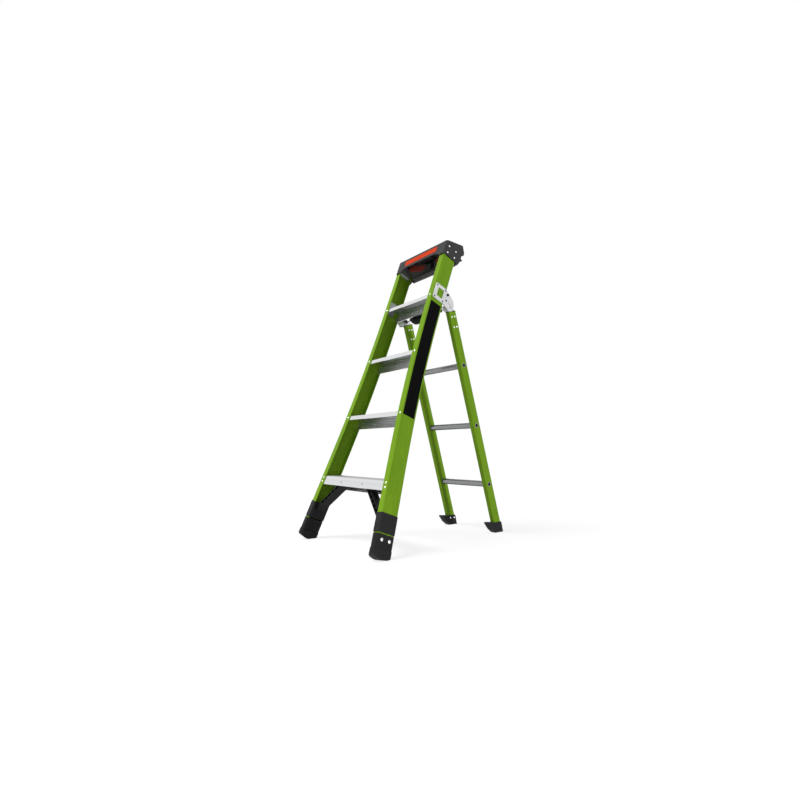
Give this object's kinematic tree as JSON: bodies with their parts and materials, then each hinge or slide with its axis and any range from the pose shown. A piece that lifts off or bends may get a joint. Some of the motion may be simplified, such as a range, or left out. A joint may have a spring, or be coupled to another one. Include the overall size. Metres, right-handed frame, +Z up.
{
  "type": "combination step ladder",
  "caption": "Free-standing combination ladder: flared green front section with flat steps and a top cap, and a narrow rear section with rungs that folds or swings up.",
  "frame": {"origin": "on the floor, at the middle of the outline of the open ladder", "axes": "+Z up, +Y from the front section with the steps to the rear section with the rungs, +X to the right across the ladder as seen by someone who climbs it"},
  "size_m": [0.6136, 0.9042, 1.4333],
  "materials": {
    "green_fibreglass": "lime green pultruded fibreglass, satin gloss with faint lengthwise streaks",
    "step_metal": "mill finish extruded aluminium with fine grooves",
    "bracket_green": "green painted plate",
    "rivet_metal": "plain rivets",
    "hinge_metal": "light silver-grey coated plate",
    "backing_metal": "plain grey plate",
    "screw_metal": "plain screws",
    "pin_metal": "turned steel",
    "black_plastic": "moulded black plastic",
    "cap_plastic": "moulded charcoal plastic",
    "boot_rubber": "black rubber with a matt surface",
    "pad_rubber": "dark grey rubber",
    "red_rubber": "dark red ribbed rubber",
    "insert_plastic": "grey plastic",
    "label_black": "plain black film",
    "stripe_orange": "plain orange film",
    "rung_metal": "mill finish tube with fine flutes"
  },
  "bodies": {
    "front_section": {"front_rail_right": "green_fibreglass", "front_rail_left": "green_fibreglass", "step_1": "step_metal", "step_2": "step_metal", "step_3": "step_metal", "step_4": "step_metal", "step_end_brackets": "bracket_green", "step_rivets": "rivet_metal", "corner_brace_right": "black_plastic", "corner_brace_left": "black_plastic", "brace_bolts": "rivet_metal", "front_boot_right": "boot_rubber", "front_boot_left": "boot_rubber", "front_boot_rivets": "rivet_metal", "top_cap": "cap_plastic", "cap_inserts": "insert_plastic", "cap_rivets": "screw_metal", "cap_stripe": "stripe_orange", "side_label": "label_black", "wall_pad_rod": "pin_metal", "hinge_plate_right": "hinge_metal", "hinge_plate_left": "hinge_metal", "hinge_backing_right": "backing_metal", "hinge_backing_left": "backing_metal", "hinge_screws": "screw_metal", "hinge_bolts": "screw_metal", "hinge_pin_right": "pin_metal", "hinge_pin_left": "pin_metal", "hinge_bumpers": "black_plastic", "lock_guides": "pin_metal", "release_housing": "black_plastic", "handle_pin": "pin_metal", "release_rivets": "rivet_metal"},
    "rear_section": {"rear_rail_right": "green_fibreglass", "rear_rail_left": "green_fibreglass", "hinge_arm_right": "hinge_metal", "hinge_arm_left": "hinge_metal", "rail_plug_right": "black_plastic", "rail_plug_left": "black_plastic", "arm_rivets": "rivet_metal", "rung_1": "rung_metal", "rung_2": "rung_metal", "rung_3": "rung_metal", "rung_ferrules": "rivet_metal", "rear_shoe_right": "boot_rubber", "rear_shoe_left": "boot_rubber", "rear_shoe_rivets": "rivet_metal"},
    "wall_pad": {"wall_pad_body": "pad_rubber", "wall_pad_grips": "red_rubber"},
    "release_handle": {"release_handle": "black_plastic"},
    "lock_rod_right": {"lock_rod_right": "pin_metal"},
    "lock_rod_left": {"lock_rod_left": "pin_metal"}
  },
  "joints": [
    {"name": "rear_fold", "type": "hinge", "parent": "front_section", "child": "rear_section", "pos_m": [0, 0.08283, 1.09629], "axis": [1, 0, 0], "range_deg": [-36.65, 143.35]},
    {"name": "wall_pad_turn", "type": "hinge", "parent": "front_section", "child": "wall_pad", "pos_m": [0, 0.134, 1.33323], "axis": [-1, 0, 0], "range_deg": [-180, 0]},
    {"name": "release_turn", "type": "hinge", "parent": "front_section", "child": "release_handle", "pos_m": [0, 0.04346, 1.08204], "axis": [1, 0, 0], "range_deg": [0, 12]},
    {"name": "lock_slide_right", "type": "slide", "parent": "front_section", "child": "lock_rod_right", "axis": [1, 0, 0], "range_m": [0, 0.00802]},
    {"name": "lock_slide_left", "type": "slide", "parent": "front_section", "child": "lock_rod_left", "axis": [-1, 0, 0], "range_m": [0, 0.00802]}
  ],
  "couplings": [
    {"joint": "lock_slide_right", "follows": "release_turn", "m_per_rad": 0.038197},
    {"joint": "lock_slide_left", "follows": "release_turn", "m_per_rad": 0.038197}
  ]
}
